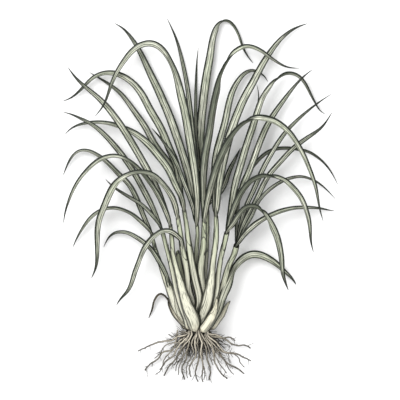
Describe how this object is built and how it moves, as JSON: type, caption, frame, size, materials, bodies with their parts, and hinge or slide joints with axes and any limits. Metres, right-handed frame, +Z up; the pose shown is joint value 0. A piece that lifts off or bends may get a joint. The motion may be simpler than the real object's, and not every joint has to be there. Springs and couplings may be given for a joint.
{
  "type": "lemongrass clump",
  "caption": "Whole uprooted lemongrass clump lying on its side: swollen stalks on one crown, long arching strap leaves above and a fan of fibrous roots below.",
  "frame": {"origin": "middle of the clump's footprint, on the surface that it lies on", "axes": "+Y from the roots towards the leaf tips, +Z up from the surface to the side that faces the viewer, +X to the viewer's right"},
  "size_m": [0.5527, 0.7283, 0.0727],
  "materials": {
    "leaf": "satin, ribbed lengthways",
    "dry_leaf": "dull, dry",
    "stalk": "smooth, slightly glossy",
    "crown": "rough",
    "root": "matte"
  },
  "bodies": {
    "root": {"crown": "crown", "husk_front": "stalk", "husk_right": "stalk", "leaf_left_01": "leaf", "leaf_left_02": "leaf", "leaf_left_03": "leaf", "leaf_left_04": "leaf", "leaf_left_05": "leaf", "leaf_left_06": "leaf", "leaf_left_07": "leaf", "leaf_left_08": "leaf", "leaf_left_09": "leaf", "leaf_left_10": "leaf", "leaf_left_11": "leaf", "leaf_left_12": "leaf", "leaf_left_13": "leaf", "leaf_left_14": "leaf", "leaf_left_15": "leaf", "leaf_left_16": "leaf", "leaf_left_17": "leaf", "leaf_left_18": "dry_leaf", "leaf_right_01": "leaf", "leaf_right_02": "leaf", "leaf_right_03": "leaf", "leaf_right_04": "leaf", "leaf_right_05": "leaf", "leaf_right_06": "leaf", "leaf_right_07": "leaf", "leaf_right_08": "leaf", "leaf_right_09": "leaf", "leaf_right_10": "leaf", "leaf_right_11": "leaf", "leaf_right_12": "leaf", "leaf_right_14": "leaf", "leaf_right_15": "leaf", "leaf_right_16": "leaf", "leaf_right_17": "leaf", "leaf_right_18": "leaf", "roots_left": "root", "roots_middle": "root", "roots_right": "root", "stalk_back": "stalk", "stalk_back_left": "stalk", "stalk_centre": "stalk", "stalk_far_left": "stalk", "stalk_far_right": "stalk", "stalk_front_left": "stalk", "stalk_front_right": "stalk", "stalk_inner_left": "stalk", "stalk_inner_right": "stalk", "stalk_middle": "stalk", "stalk_middle_back": "stalk", "stalk_middle_left": "stalk"}
  },
  "joints": []
}
